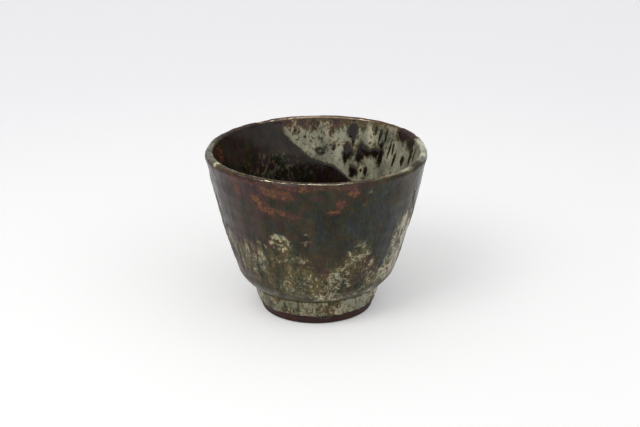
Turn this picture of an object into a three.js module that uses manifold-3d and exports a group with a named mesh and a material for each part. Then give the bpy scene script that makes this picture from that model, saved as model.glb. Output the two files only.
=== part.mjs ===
// Tea bowl: a thrown stoneware bowl on a luted foot ring, under two coats of fired glaze.
// Millimetres, +Z up. The origin is the centre of the plane that the foot stands on.
// The first coat is pale ash glaze inside, outside and on the foot. The second is dark iron glaze:
// outside it covers the lip and upper wall and ends in runs, and inside it was poured in with the
// bowl tilted, so its edge is the flat level that the liquid stood at.
import * as THREE from 'three';
import { mergeVertices } from 'three/addons/utils/BufferGeometryUtils.js';
import Module from 'manifold-3d';

// Finished outside
const RIM_DIAMETER = 110;
const BOWL_HEIGHT = 83.5;
const HIP_DIAMETER = 79; // where the wall turns under
const HIP_RISE = 8; // from the foot joint up to the hip
const WALL_BULGE = 1; // outward belly of the wall between hip and lip
const UNDERSIDE_ANGLE = 13; // degrees above level, where the underside leaves the foot
const UNDERSIDE_EASE = 3.8; // how far the underside keeps that angle
const HIP_EASE = 1.5; // how tightly the hip turns

// Walls
const LIP_THICKNESS = 4.6;
const WALL_THICKNESS = 5.4; // at the top of the inner turn
const FLOOR_THICKNESS = 6; // at the axis
const INNER_TURN = 12; // height over which the inner wall rounds into the floor
const INNER_TURN_EASE = 9.5; // how far the turn keeps the wall's slope
const FLOOR_FLAT_RADIUS = 20; // reach of the level middle of the floor

// Foot
const FOOT_HEIGHT = 13.5; // from the standing plane to the line where bowl and foot meet
const FOOT_TOP_DIAMETER = 62.4;
const FOOT_BASE_DIAMETER = 56.4;
const FOOT_BELLY_HEIGHT = 6.5; // height at which the foot's side stops widening
const FOOT_RIM_WIDTH = 6; // flat standing ring
const FOOT_EDGE_RADIUS = 0.9; // worn edges of the standing ring
const WELL_DRAFT = 1.5; // how far the inside of the foot leans in
const WELL_DOME = 2.5; // turned point left in the middle of the foot's well
const WELL_DOME_MARGIN = 2; // flat between that point and the ring
const SLIP_THICKNESS = 0.6; // luting slip between bowl and foot ring
const SLIP_SET_BACK = 1; // from the edges of the ring

// Glaze
const ASH_GLAZE = 0.5;
const IRON_GLAZE = 0.35;
const LAYER_GAP = 0.1; // clearance between a coat and what it lies on
const LIP_SEAM = 0.3; // between outside and inside coats, along the crest of the lip
const FOOT_GROOVE = 0.8; // open line between the coat on the bowl and the coat on the foot
const BARE_FOOT_BAND = 5; // unglazed clay above the standing plane
const IRON_EDGE_HEIGHT = 50; // mean height of the outer iron coat's lower edge
const RUN_LENGTH = 22;
const RUN_WIDTH = 9;
const RUN_COUNT = 11;
const RUN_SCATTER = 0.3; // how far a run strays from even spacing, as a share of it
const RUN_UNEVENNESS = 0.35; // how much shorter the mean run is than the longest, as a share
const RUN_STEP = 2.4; // radians from run to run, so that no two neighbours match
const POUR_TILT = 37.5; // degrees that the bowl leaned while the iron glaze was poured in
const POUR_AZIMUTH = 98; // degrees from the front (-Y) towards +X: the side left pale
const POUR_LEVEL = 69.6; // height at which the poured level crosses the bowl's axis

// Hand-thrown departure from a true round, growing from the hip to the lip
const OVAL = 0.45;
const OVAL_AZIMUTH = 54; // degrees
const LIP_WAVE = 0.45;
const LIP_WAVE_AZIMUTH = 141; // degrees
const LIP_OFFSET = 0.35; // how far the lip's centre strays towards +X

// Facets
const SEGMENTS = 48;
const RUN_SEGMENTS = 96;
const UNDERSIDE_STEPS = 4;
const WALL_STEPS = 4;
const LIP_STEPS = 3;
const INNER_WALL_STEPS = 2;
const FLOOR_STEPS = 5;
const FOOT_STEPS = 3;
const EDGE_STEPS = 3;
const DOME_STEPS = 3;
const WELD_DISTANCE = 1e-4; // vertices closer than this are one

const RIGHT_ANGLE = Math.PI / 2;
const radians = THREE.MathUtils.degToRad;
const point = (r, z) => new THREE.Vector2(r, z);
const polar = (angle, length) => point(length * Math.cos(angle), length * Math.sin(angle));

const wasm = await Module();
wasm.setup();

// Section of the finished pale coat, as radius and height. Each layer is an offset of it.
const ironBuild = LAYER_GAP + IRON_GLAZE;
const ashBuild = ASH_GLAZE + LAYER_GAP;
const lipRadius = LIP_THICKNESS / 2 - ironBuild;
const lipCentre = point(RIM_DIAMETER / 2 - LIP_THICKNESS / 2, BOWL_HEIGHT - LIP_THICKNESS / 2);
const joint = point(FOOT_TOP_DIAMETER / 2, FOOT_HEIGHT);
const hip = point(HIP_DIAMETER / 2, FOOT_HEIGHT + HIP_RISE);
const baseHeight = FOOT_HEIGHT;
const floorHeight = baseHeight + FLOOR_THICKNESS;

function outerCurves() {
  const lipFace = lipCentre.clone().add(point(lipRadius, 0));
  const chord = lipFace.clone().sub(hip);
  const bulgeTurn = Math.atan((4 * WALL_BULGE) / chord.length());
  const topAngle = chord.angle() + bulgeTurn - RIGHT_ANGLE;
  const wallTop = lipCentre.clone().add(polar(topAngle, lipRadius));
  const across = polar(chord.angle() - RIGHT_ANGLE, 2 * WALL_BULGE);
  const belly = hip.clone().lerp(wallTop, 0.5).add(across);
  const hipSlope = belly.clone().sub(hip).angle();
  const leave = joint.clone().add(polar(radians(UNDERSIDE_ANGLE), UNDERSIDE_EASE));
  const arrive = hip.clone().sub(polar(hipSlope, HIP_EASE));
  const underside = new THREE.CubicBezierCurve(joint, leave, arrive, hip);
  const wall = new THREE.QuadraticBezierCurve(hip, belly, wallTop);
  const lip = new THREE.EllipseCurve(
    lipCentre.x, lipCentre.y, lipRadius, lipRadius, topAngle, RIGHT_ANGLE);
  return [underside, wall, lip];
}

function innerCurves() {
  const turnHeight = floorHeight + INNER_TURN;
  const share = (turnHeight - hip.y) / (lipCentre.y - hip.y);
  const outerRadius = THREE.MathUtils.lerp(hip.x, lipCentre.x + lipRadius, share);
  const turn = point(outerRadius - WALL_THICKNESS, turnHeight);
  const fall = turn.clone().sub(lipCentre.clone().sub(point(lipRadius, 0))).angle();
  const innerAngle = fall - RIGHT_ANGLE;
  const wallTop = lipCentre.clone().add(polar(innerAngle, lipRadius));
  const seam = RIGHT_ANGLE + LIP_SEAM / lipRadius;
  const lip = new THREE.EllipseCurve(
    lipCentre.x, lipCentre.y, lipRadius, lipRadius, seam, innerAngle);
  const wall = new THREE.LineCurve(wallTop, turn);
  const ease = turn.clone().add(polar(fall, INNER_TURN_EASE));
  const level = point(FLOOR_FLAT_RADIUS, floorHeight);
  const floor = new THREE.CubicBezierCurve(turn, ease, level, point(0, floorHeight));
  return [lip, wall, floor];
}

// Curves sampled to stations: a point of the section and the direction that leaves the pot there.
function stationsAlong(curves, steps) {
  const stations = [];
  curves.forEach((curve, i) => {
    for (let k = i === 0 ? 0 : 1; k <= steps[i]; k++) {
      const along = curve.getTangent(k / steps[i]);
      stations.push({ at: curve.getPoint(k / steps[i]), out: point(along.y, -along.x) });
    }
  });
  return stations;
}

// Stations moved off the section, outwards if the distance is positive. Points on the axis stay there.
function layer(stations, distance) {
  return stations.map(({ at, out }) => {
    const moved = at.clone().addScaledVector(out, distance);
    return at.x === 0 ? point(0, moved.y) : moved;
  });
}

// A turned solid. Its section runs anticlockwise, from the axis back to it or round to its own start.
function turned(section, segments = SEGMENTS) {
  const closed = section[0].x === 0 ? section : [...section, section[0]];
  return new THREE.LatheGeometry(closed, segments).rotateX(RIGHT_ANGLE);
}

// A coat between two distances from the section.
const coat = (stations, inner, outer) =>
  turned([...layer(stations, outer), ...layer(stations, inner).reverse()]);

function solidOf(geometry) {
  const bare = geometry.toNonIndexed();
  bare.deleteAttribute('normal');
  bare.deleteAttribute('uv');
  const merged = mergeVertices(bare, WELD_DISTANCE);
  return new wasm.Manifold(new wasm.Mesh({
    numProp: 3,
    vertProperties: merged.attributes.position.array,
    triVerts: new Uint32Array(merged.index.array),
  }));
}

function geometryOf(solid) {
  const { vertProperties, triVerts } = solid.getMesh();
  const geometry = new THREE.BufferGeometry();
  geometry.setAttribute('position', new THREE.BufferAttribute(vertProperties, 3));
  geometry.setIndex(new THREE.BufferAttribute(triVerts, 1));
  geometry.computeVertexNormals();
  return geometry;
}

// Moves each vertex: change(position, azimuth) edits the position in place.
function reshape(geometry, change) {
  const positions = geometry.getAttribute('position');
  const position = new THREE.Vector3();
  for (let i = 0; i < positions.count; i++) {
    position.fromBufferAttribute(positions, i);
    change(position, Math.atan2(position.x, -position.y));
    positions.setXYZ(i, position.x, position.y, position.z);
  }
  return geometry;
}

// The wheel's small errors: a slightly oval wall, and a lip that dips, rises and sits off centre.
function handThrown(geometry) {
  return reshape(geometry, (position, azimuth) => {
    const rise = (position.z - hip.y) / (BOWL_HEIGHT - hip.y);
    const share = THREE.MathUtils.clamp(rise, 0, 1);
    const radius = Math.hypot(position.x, position.y);
    const swell = OVAL * share * Math.cos(2 * (azimuth - radians(OVAL_AZIMUTH)));
    const grow = radius > 0 ? (radius + swell) / radius : 1;
    position.x = position.x * grow + LIP_OFFSET * share;
    position.y *= grow;
    position.z += LIP_WAVE * share * Math.cos(2 * (azimuth - radians(LIP_WAVE_AZIMUTH)));
  });
}

const outside = stationsAlong(outerCurves(), [UNDERSIDE_STEPS, WALL_STEPS, LIP_STEPS]);
const inside = stationsAlong(innerCurves(), [LIP_STEPS, INNER_WALL_STEPS, FLOOR_STEPS]);
const outerWall = outside.slice(UNDERSIDE_STEPS);

// Foot section
const ringTop = baseHeight - SLIP_THICKNESS;
const footSide = new THREE.QuadraticBezierCurve(
  point(FOOT_BASE_DIAMETER / 2 + ashBuild, 0),
  point(FOOT_TOP_DIAMETER / 2, FOOT_BELLY_HEIGHT),
  joint);
const seatRadius = joint.x - ashBuild;
const wellRadius = FOOT_BASE_DIAMETER / 2 - FOOT_RIM_WIDTH;
const wellTopRadius = wellRadius - WELL_DRAFT;

// Where the foot's side reaches a height, as a share of its curve.
function footShareAt(height) {
  const startPull = FOOT_BELLY_HEIGHT;
  const bend = FOOT_HEIGHT - 2 * startPull;
  const spread = Math.sqrt(startPull * startPull + bend * height);
  return height / (startPull + spread);
}

function footStations(from, to) {
  const stations = [];
  for (let k = 0; k <= FOOT_STEPS; k++) {
    const share = THREE.MathUtils.lerp(footShareAt(from), footShareAt(to), k / FOOT_STEPS);
    const along = footSide.getTangent(share);
    stations.push({ at: footSide.getPoint(share), out: point(along.y, -along.x) });
  }
  return stations;
}

function arcPoints(centre, radius, start, end, steps) {
  const arc = new THREE.EllipseCurve(centre.x, centre.y, radius, radius, start, end);
  return arc.getPoints(steps);
}

function clayBowl() {
  const domeRadius = wellTopRadius - WELL_DOME_MARGIN;
  const dome = new THREE.QuadraticBezierCurve(
    point(0, baseHeight - WELL_DOME),
    point(domeRadius / 2, baseHeight - WELL_DOME),
    point(domeRadius, baseHeight));
  return turned([
    ...dome.getPoints(DOME_STEPS),
    point(seatRadius, baseHeight),
    ...layer(outside, -ashBuild),
    ...layer(inside, -ashBuild),
  ]);
}

function lutingSlip() {
  const inner = wellTopRadius + SLIP_SET_BACK;
  const outer = seatRadius - SLIP_SET_BACK;
  return turned([
    point(inner, ringTop), point(outer, ringTop), point(outer, baseHeight), point(inner, baseHeight),
  ]);
}

function footRing() {
  const lowCentre = point(FOOT_BASE_DIAMETER / 2 - FOOT_EDGE_RADIUS, FOOT_EDGE_RADIUS);
  const wellCentre = point(wellRadius + FOOT_EDGE_RADIUS, FOOT_EDGE_RADIUS);
  const side = layer(footStations(BARE_FOOT_BAND, ringTop), -ashBuild);
  return turned([
    ...arcPoints(wellCentre, FOOT_EDGE_RADIUS, Math.PI, 3 * RIGHT_ANGLE, EDGE_STEPS),
    ...arcPoints(lowCentre, FOOT_EDGE_RADIUS, -RIGHT_ANGLE, 0, EDGE_STEPS),
    ...side.slice(0, -1),
    point(seatRadius, ringTop),
    point(wellTopRadius, ringTop),
  ]);
}

const ashGlazeFoot = () =>
  coat(footStations(BARE_FOOT_BAND, FOOT_HEIGHT - FOOT_GROOVE), -ASH_GLAZE, 0);

// Height of the outer iron coat's lower edge: each run hangs down by its own length.
function runEdge(azimuth) {
  const middleRadius = (hip.x + lipCentre.x) / 2;
  const spacing = (2 * Math.PI) / RUN_COUNT;
  let lowest = 0;
  for (let i = 0; i < RUN_COUNT; i++) {
    const centre = spacing * (i + RUN_SCATTER * Math.sin(RUN_STEP * i));
    const away = Math.abs(Math.atan2(Math.sin(azimuth - centre), Math.cos(azimuth - centre)));
    const share = (away * middleRadius) / (RUN_WIDTH / 2);
    const length = RUN_LENGTH * (1 - RUN_UNEVENNESS * (1 - Math.cos(RUN_STEP * i)));
    lowest = Math.max(lowest, length * Math.exp(-share * share));
  }
  return IRON_EDGE_HEIGHT - lowest;
}

function ironGlazeOutside() {
  const inner = joint.x / 2;
  const outer = RIM_DIAMETER;
  const cutter = turned(
    [point(inner, 0), point(outer, 0), point(outer, hip.y), point(inner, hip.y)], RUN_SEGMENTS);
  reshape(cutter, (position, azimuth) => {
    if (position.z > hip.y / 2) position.z = runEdge(azimuth);
  });
  const shell = solidOf(coat(outerWall, LAYER_GAP, ironBuild));
  return geometryOf(shell.subtract(solidOf(cutter)));
}

function ironGlazeInside() {
  const depth = 2 * RIM_DIAMETER;
  const keep = new THREE.BoxGeometry(depth, depth, depth);
  const lean = new THREE.Vector3(
    Math.sin(radians(POUR_TILT)) * Math.sin(radians(POUR_AZIMUTH)),
    -Math.sin(radians(POUR_TILT)) * Math.cos(radians(POUR_AZIMUTH)),
    Math.cos(radians(POUR_TILT)));
  const turn = new THREE.Quaternion().setFromUnitVectors(new THREE.Vector3(0, 0, 1), lean);
  keep.translate(0, 0, -depth / 2).applyQuaternion(turn).translate(0, 0, POUR_LEVEL);
  const shell = solidOf(coat(inside, LAYER_GAP, ironBuild));
  return geometryOf(shell.intersect(solidOf(keep)));
}

const bowl = new THREE.Group();

function add(name, geometry, color, roughness) {
  const material = new THREE.MeshStandardMaterial({ color, roughness, metalness: 0 });
  const mesh = new THREE.Mesh(handThrown(geometry), material);
  mesh.name = name;
  bowl.add(mesh);
}

add('clay_bowl', clayBowl(), 0x6b4a38, 0.9);
add('luting_slip', lutingSlip(), 0x553a2c, 0.95);
add('foot_ring', footRing(), 0x4a2c22, 0.9);
add('ash_glaze_inside', coat(inside, -ASH_GLAZE, 0), 0x8c8c7c, 0.25);
add('ash_glaze_outside', coat(outside, -ASH_GLAZE, 0), 0x848573, 0.25);
add('ash_glaze_foot', ashGlazeFoot(), 0x7f8573, 0.25);
add('iron_glaze_outside', ironGlazeOutside(), 0x3d3732, 0.3);
add('iron_glaze_inside', ironGlazeInside(), 0x241f1b, 0.3);

export default bowl;
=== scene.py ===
# %% [markdown]
# # A glazed stoneware tea bowl
# The bowl is brown stoneware under two glazes: a pale ash glaze all over, and a dark iron glaze that
# was poured over the lip and into the bowl while the first was still raw. In the kiln the dark one
# melted down into the pale one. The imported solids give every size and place; this script dresses
# them with fine surfaces and glaze colour. Lengths below are millimetres until a mesh is made.

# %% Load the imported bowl
import itertools
import math
from types import SimpleNamespace

import bmesh
import bpy
import numpy as np
from mathutils import Matrix, Vector


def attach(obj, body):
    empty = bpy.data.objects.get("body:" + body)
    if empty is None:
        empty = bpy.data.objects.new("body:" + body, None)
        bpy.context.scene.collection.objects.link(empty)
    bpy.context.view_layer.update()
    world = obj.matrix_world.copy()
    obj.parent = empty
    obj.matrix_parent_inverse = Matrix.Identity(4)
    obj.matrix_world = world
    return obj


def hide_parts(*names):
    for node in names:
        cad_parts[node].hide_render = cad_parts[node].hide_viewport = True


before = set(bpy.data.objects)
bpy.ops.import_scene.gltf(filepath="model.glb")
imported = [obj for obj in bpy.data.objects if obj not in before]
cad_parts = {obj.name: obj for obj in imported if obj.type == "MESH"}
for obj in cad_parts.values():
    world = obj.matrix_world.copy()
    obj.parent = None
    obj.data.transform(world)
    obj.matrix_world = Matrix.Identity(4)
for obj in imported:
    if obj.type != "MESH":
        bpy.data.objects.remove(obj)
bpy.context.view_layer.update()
MM = 0.001
print("packed nodes:", ", ".join(sorted(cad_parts)))

# %% [markdown]
# The camera looks down on the bowl from a third of a metre above the table, through a longish lens,
# and leans by half a degree. A camera could be aimed with a constraint, but three plain angles are
# easier to read and to change.

# %% Camera
CAMERA_PLACE = (1.93, -770.0, 340.4)
CAMERA_PITCH = 20.78
CAMERA_LEAN = -0.6
CAMERA_LENS = 92.4

camera_data = bpy.data.cameras.new("camera")
camera_data.sensor_width = 36.0
camera_data.lens = CAMERA_LENS
camera_data.dof.use_dof = False
camera = bpy.data.objects.new("camera", camera_data)
bpy.context.scene.collection.objects.link(camera)
aim = Matrix.Rotation(math.radians(90 - CAMERA_PITCH), 4, "X")
lean = Matrix.Rotation(math.radians(CAMERA_LEAN), 4, "Z")
camera.matrix_world = Matrix.Translation(Vector(CAMERA_PLACE) * MM) @ aim @ lean
bpy.context.scene.camera = camera
print("camera", [round(c, 3) for c in camera.location])

# %% [markdown]
# Materials are built from nodes. One helper adds a node, sets it up and links what feeds it, so that
# a material reads from top to bottom. A plain row of inputs fills the sockets from the top: for a Map
# Range node that is the value, the range it comes from and the range it goes to. Colours are written
# as the sRGB hex values that a picture editor shows, and one function turns them into the linear
# numbers that a shader works in.

# %% Colour and node helpers
def linear(hex_colour):
    """An sRGB hex colour as the linear RGBA that a shader socket takes."""
    channels = [int(hex_colour[i:i + 2], 16) / 255 for i in (1, 3, 5)]
    return (*[c / 12.92 if c <= 0.04045 else ((c + 0.055) / 1.055) ** 2.4 for c in channels], 1.0)


def plug(tree, sockets, values):
    """Gives sockets their values or links, by name or number."""
    for socket, value in values.items():
        if isinstance(value, bpy.types.NodeSocket):
            tree.links.new(value, sockets[socket])
        else:
            sockets[socket].default_value = value


def add_node(tree, kind, inputs=(), out=0, stops=(), **settings):
    """Adds a node with its inputs, settings and a ramp's (place, hex) stops, and returns one output."""
    node = tree.nodes.new("ShaderNode" + kind)
    for name, value in settings.items():
        setattr(node, name, value)
    plug(tree, node.inputs, inputs if isinstance(inputs, dict) else dict(enumerate(inputs)))
    for i, (place, hex_colour) in enumerate(stops):
        elements = node.color_ramp.elements
        element = elements[i] if i < 2 else elements.new(place)
        element.position = place
        element.color = linear(hex_colour)
    return node.outputs[out]


def new_material(name):
    """A material, its node tree and the inputs of its main shader."""
    material = bpy.data.materials.new(name)
    material.use_nodes = True
    tree = material.node_tree
    return material, tree, tree.nodes["Principled BSDF"].inputs


# Sockets of a colour Mix node, which has unnamed twins for its other kinds of data.
MIX_SHARE, MIX_BELOW, MIX_ABOVE, MIX_OUT = 0, 6, 7, 2

# %% [markdown]
# The bowl stands on a seamless pale table under a light tent. A wide disc gives that look from every
# side; its colour fades a little darker away from the bowl, a painted fall-off of the light. The world
# is white, brightest low and behind the viewer, and a large soft lamp high at the front left shapes the
# bowl. Two lamps overhead only show in reflections, where they draw the glints along the lip. The table
# also has a painted glow: its material gives off a little light, which keeps the shadow at the foot pale.

# %% Table
TABLE_RADIUS = 4000.0
TABLE_NEAR = "#f6f6f5"
TABLE_FAR = "#eeedef"
TABLE_FADE_FROM = 170.0
TABLE_FADE_TO = 460.0
TABLE_PAINTED_GLOW = 0.15

table_mesh = bpy.data.meshes.new("table")
table_edit = bmesh.new()
bmesh.ops.create_circle(table_edit, cap_ends=True, segments=96, radius=TABLE_RADIUS * MM)
table_edit.to_mesh(table_mesh)
table_edit.free()
table = bpy.data.objects.new("table", table_mesh)
bpy.context.scene.collection.objects.link(table)

paper, tree, shader = new_material("backdrop paper, matt, with painted glow and fall-off")
place = add_node(tree, "TexCoord", out="Object")
distance = add_node(tree, "VectorMath", [place], "Value", operation="LENGTH")
# The table's colour darkens away from the bowl: a painted fall-off of light.
painted_falloff = add_node(
    tree, "MapRange", [distance, TABLE_FADE_FROM * MM, TABLE_FADE_TO * MM], interpolation_type="SMOOTHSTEP")
shade = add_node(tree, "Mix", {
    MIX_SHARE: painted_falloff, MIX_BELOW: linear(TABLE_NEAR), MIX_ABOVE: linear(TABLE_FAR)}, MIX_OUT, data_type="RGBA")
# The emission is a painted glow that lifts the shadow round the foot.
plug(tree, shader, {
    "Base Color": shade, "Roughness": 0.9, "Specular IOR Level": 0.2,
    "Emission Color": linear("#ffffff"), "Emission Strength": TABLE_PAINTED_GLOW})
table_mesh.materials.append(paper)
print("table", TABLE_RADIUS * 2 * MM, "m across")

# %% Light tent
TENT_SIDES = 1.1
TENT_TOP = 0.8
VIEWER_SIDE = 1.55
FAR_SIDE = 0.55

world = bpy.data.worlds.new("light tent")
bpy.context.scene.world = world
world.use_nodes = True
tree = world.node_tree
direction = add_node(tree, "TexCoord", out="Generated")
away, up = (add_node(tree, "SeparateXYZ", [direction], axis) for axis in "YZ")
side, climb = (
    add_node(tree, "MapRange", ranges, interpolation_type="SMOOTHSTEP")
    for ranges in ([away, -0.9, 0.3, VIEWER_SIDE, FAR_SIDE], [up, 0.1, 0.8, TENT_SIDES, TENT_TOP]))
strength = add_node(tree, "Math", [side, climb], operation="MULTIPLY")
plug(tree, tree.nodes["Background"].inputs, {"Strength": strength, "Color": linear("#fdfdff")})

GLINT_COLOUR = "#fff0d2"
# Each row is name, place, length and width, power in watts, and whether it lights matt surfaces too.
LAMPS = [
    ("front left soft box", (-420.0, -560.0, 800.0), (480.0, 480.0), 2.4, True),
    ("overhead lamp, left", (-290.0, 60.0, 700.0), (150.0, 50.0), 6.5, False),
    ("overhead lamp, middle", (40.0, 60.0, 700.0), (210.0, 50.0), 10.0, False),
]
for name, at, (length, width), power, lights_all in LAMPS:
    lamp_data = bpy.data.lights.new(name, "AREA")
    lamp_data.shape = "RECTANGLE"
    lamp_data.size = length * MM
    lamp_data.size_y = width * MM
    lamp_data.energy = power
    lamp_data.color = linear("#ffffff" if lights_all else GLINT_COLOUR)[:3]
    lamp = bpy.data.objects.new(name, lamp_data)
    lamp.location = Vector(at) * MM
    if lights_all:
        lamp.rotation_euler = (-lamp.location).to_track_quat("-Z", "Y").to_euler()
    lamp.visible_camera = False
    lamp.visible_diffuse = lights_all
    bpy.context.scene.collection.objects.link(lamp)
bpy.context.scene.view_settings.view_transform = "Standard"
print("lamps:", "; ".join(row[0] for row in LAMPS))

# %% [markdown]
# Every surface follows one section of the bowl, which runs from the foot joint up the outside, over
# the lip and down the inside to the middle of the floor. It is the face of the finished pale coat.
# The section could be drawn as a curve object and spun with a Screw modifier, but glaze that runs
# needs a different thickness at every point, so the section is kept as numbers.

# %% Sizes that the section is drawn from
RIM_RADIUS = 55.0
BOWL_HEIGHT = 83.5
HIP = np.array([39.5, 21.5])
JOINT = np.array([31.2, 13.5])
WALL_BULGE = 1.0
UNDERSIDE_ANGLE = 13.0
UNDERSIDE_EASE = 3.8
HIP_EASE = 1.5
LIP_THICKNESS = 4.6
WALL_THICKNESS = 5.4
FLOOR_HEIGHT = 19.5
INNER_TURN = 12.0
INNER_TURN_EASE = 9.5
FLOOR_FLAT_RADIUS = 20.0
ASH_BUILD = 0.6
IRON_BUILD = 0.45
LIP_RADIUS = LIP_THICKNESS / 2 - IRON_BUILD
LIP_CENTRE = np.array([RIM_RADIUS, BOWL_HEIGHT]) - LIP_THICKNESS / 2


def polar(angle, length):
    return length * np.array([math.cos(angle), math.sin(angle)])


def angle_of(step):
    return math.atan2(step[1], step[0])


def bezier(corners, count=200):
    """Points along the Bezier curve that has these corner points."""
    share = np.linspace(0, 1, count)[:, None]
    rows = [np.asarray(corner, float)[None, :] for corner in corners]
    while len(rows) > 1:
        rows = [(1 - share) * a + share * b for a, b in zip(rows, rows[1:])]
    return rows[0]


def arc(centre, radius, start, end, count=200):
    angle = np.linspace(start, end, count)
    return centre + radius * np.stack([np.cos(angle), np.sin(angle)], axis=1)


# %% The section, from the joint over the lip to the floor
lip_face = LIP_CENTRE + (LIP_RADIUS, 0)
chord = lip_face - HIP
chord_angle = angle_of(chord)
outer_angle = chord_angle + math.atan(4 * WALL_BULGE / np.hypot(*chord)) - math.pi / 2
outer_top = LIP_CENTRE + polar(outer_angle, LIP_RADIUS)
belly = (HIP + outer_top) / 2 + polar(chord_angle - math.pi / 2, 2 * WALL_BULGE)
hip_slope = angle_of(belly - HIP)

turn_height = FLOOR_HEIGHT + INNER_TURN
turn_share = (turn_height - HIP[1]) / (LIP_CENTRE[1] - HIP[1])
turn = np.array([HIP[0] + turn_share * (lip_face[0] - HIP[0]) - WALL_THICKNESS, turn_height])
fall = angle_of(turn - (LIP_CENTRE - (LIP_RADIUS, 0))) + 2 * math.pi
inner_top = LIP_CENTRE + polar(fall - math.pi / 2, LIP_RADIUS)

underside = bezier([
    JOINT, JOINT + polar(math.radians(UNDERSIDE_ANGLE), UNDERSIDE_EASE),
    HIP - polar(hip_slope, HIP_EASE), HIP])
outer_wall = bezier([HIP, belly, outer_top])
lip = arc(LIP_CENTRE, LIP_RADIUS, outer_angle, fall - math.pi / 2)
inner_wall = bezier([inner_top, turn])
floor = bezier([
    turn, turn + polar(fall, INNER_TURN_EASE), (FLOOR_FLAT_RADIUS, FLOOR_HEIGHT), (0, FLOOR_HEIGHT)])

section = np.vstack([underside, outer_wall[1:], lip[1:], inner_wall[1:], floor[1:]])
reach = np.concatenate([[0], np.cumsum(np.hypot(*np.diff(section, axis=0).T))])
slope = np.gradient(section, reach, axis=0)
slope /= np.hypot(*slope.T)[:, None]
crest = np.argmax(section[:, 1])
CREST = reach[crest]
PATH_END = reach[-1]


def outside_reach(height):
    """How far along the section the outside passes a height."""
    return np.interp(height, section[:crest, 1], reach[:crest])


def inside_reach(height):
    """How far along the section the inside passes a height."""
    return np.interp(-height, -section[crest:, 1], reach[crest:])


print("section", round(float(PATH_END), 1), "mm long, crest at", round(float(CREST), 1))

# %% [markdown]
# A bowl thrown by hand is never quite round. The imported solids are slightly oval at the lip, and the
# lip rises, dips and sits off centre, so every fine surface gets the same bend. A grid of the section
# turned round the axis carries all later work: rows follow the section and columns go round the
# bowl, from the side that faces the viewer towards the right.

# %% Turned grid
OVAL = 0.45
OVAL_AZIMUTH = 54.0
LIP_WAVE = 0.45
LIP_WAVE_AZIMUTH = 141.0
LIP_OFFSET = 0.35
COLUMNS = 560


def hand_thrown(radius, height, azimuth):
    """Radius and height at an azimuth in degrees, as x, y, z on the slightly uneven bowl."""
    share = np.clip((height - HIP[1]) / (BOWL_HEIGHT - HIP[1]), 0, 1)
    swell = OVAL * share * np.cos(2 * np.radians(azimuth - OVAL_AZIMUTH))
    lift = LIP_WAVE * share * np.cos(2 * np.radians(azimuth - LIP_WAVE_AZIMUTH))
    out = np.where(radius > 1e-6, radius + swell, 0)
    turned = np.radians(azimuth)
    return np.stack([
        out * np.sin(turned) + LIP_OFFSET * share, -out * np.cos(turned), height + lift], axis=-1)


class Grid:
    """The section's points at chosen reaches, turned round the axis."""

    def __init__(self, reaches, columns=COLUMNS):
        self.reach = np.asarray(reaches, float)[:, None]
        self.azimuth = np.arange(columns)[None, :] * 360 / columns
        self.azimuth = (self.azimuth + 180) % 360 - 180
        self.radius = np.interp(self.reach, reach, section[:, 0])
        self.height = np.interp(self.reach, reach, section[:, 1])
        self.out = [np.interp(self.reach, reach, slope[:, 1]), -np.interp(self.reach, reach, slope[:, 0])]
        turned = np.radians(self.azimuth)
        self.points = np.stack([
            self.radius * np.sin(turned), -self.radius * np.cos(turned),
            self.height + 0 * turned], axis=-1)

    def lifted(self, amount):
        """The points moved off the section by an amount, outwards where it is positive."""
        radius = self.radius + self.out[0] * amount
        height = self.height + self.out[1] * amount
        return hand_thrown(radius + 0 * self.azimuth, height + 0 * self.azimuth, self.azimuth)


# %% [markdown]
# Turned grids become meshes here. A coat is a closed skin: the rows that are seen, then a few coarse
# rows back along its hidden side. Numbers painted on the points, such as how much iron the glaze
# holds, go along as attributes that a material can read. A flat map of the seen rows is stored
# too, because a turned surface unrolls without seams apart from one.

# %% Mesh from turned rows
SEEN_SHARE_OF_MAP = 0.94
SHARP_ANGLE = 55.0


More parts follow.
